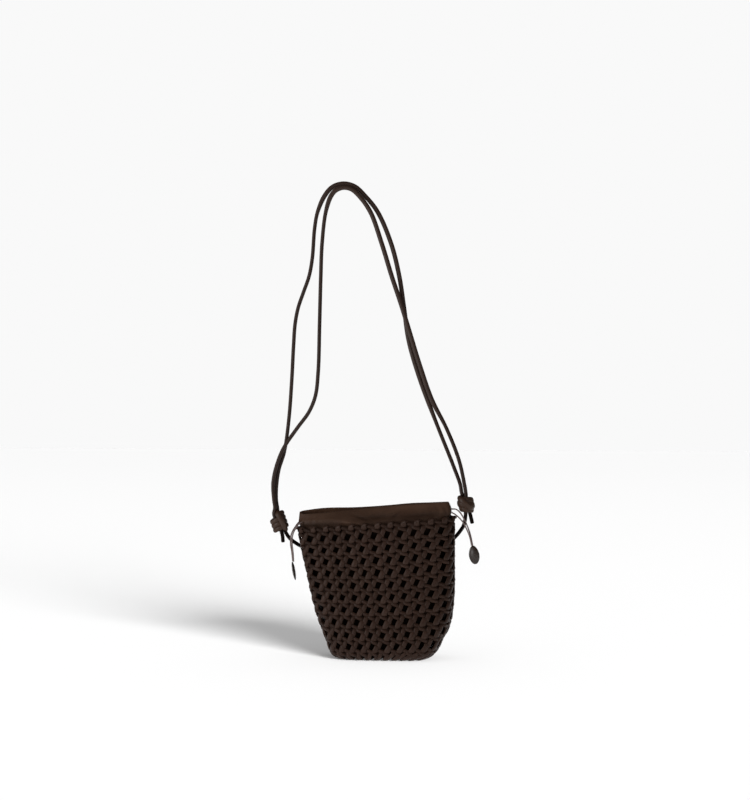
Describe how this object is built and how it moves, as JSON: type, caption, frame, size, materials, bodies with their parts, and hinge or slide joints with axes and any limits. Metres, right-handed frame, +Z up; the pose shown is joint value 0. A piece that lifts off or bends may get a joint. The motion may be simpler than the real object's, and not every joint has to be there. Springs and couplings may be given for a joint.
{
  "type": "crossbody phone bag",
  "caption": "Small upright bag of open woven leather with a soft leather drawstring pouch inside, on a knotted round leather cord strap.",
  "frame": {"origin": "under the strap's top bend, where a peg or a hook holds it", "axes": "+Z up, +X towards the right of the front view, the front towards -Y"},
  "size_m": [0.2322, 0.079, 0.5234],
  "materials": {
    "weave_leather": "soft satin",
    "pouch_leather": "matte",
    "strap_leather": "satin",
    "drawstring_cord": "waxed",
    "tab_leather": "satin"
  },
  "bodies": {
    "root": {"woven_body": "weave_leather", "leather_pouch": "pouch_leather", "strap_cord_left": "strap_leather", "strap_cord_right": "strap_leather", "strap_knot_left": "strap_leather", "strap_knot_right": "strap_leather", "drawstring_left_front": "drawstring_cord", "drawstring_left_back": "drawstring_cord", "drawstring_right_front": "drawstring_cord", "drawstring_right_back": "drawstring_cord", "tab_left": "tab_leather", "tab_right": "tab_leather"}
  },
  "joints": []
}
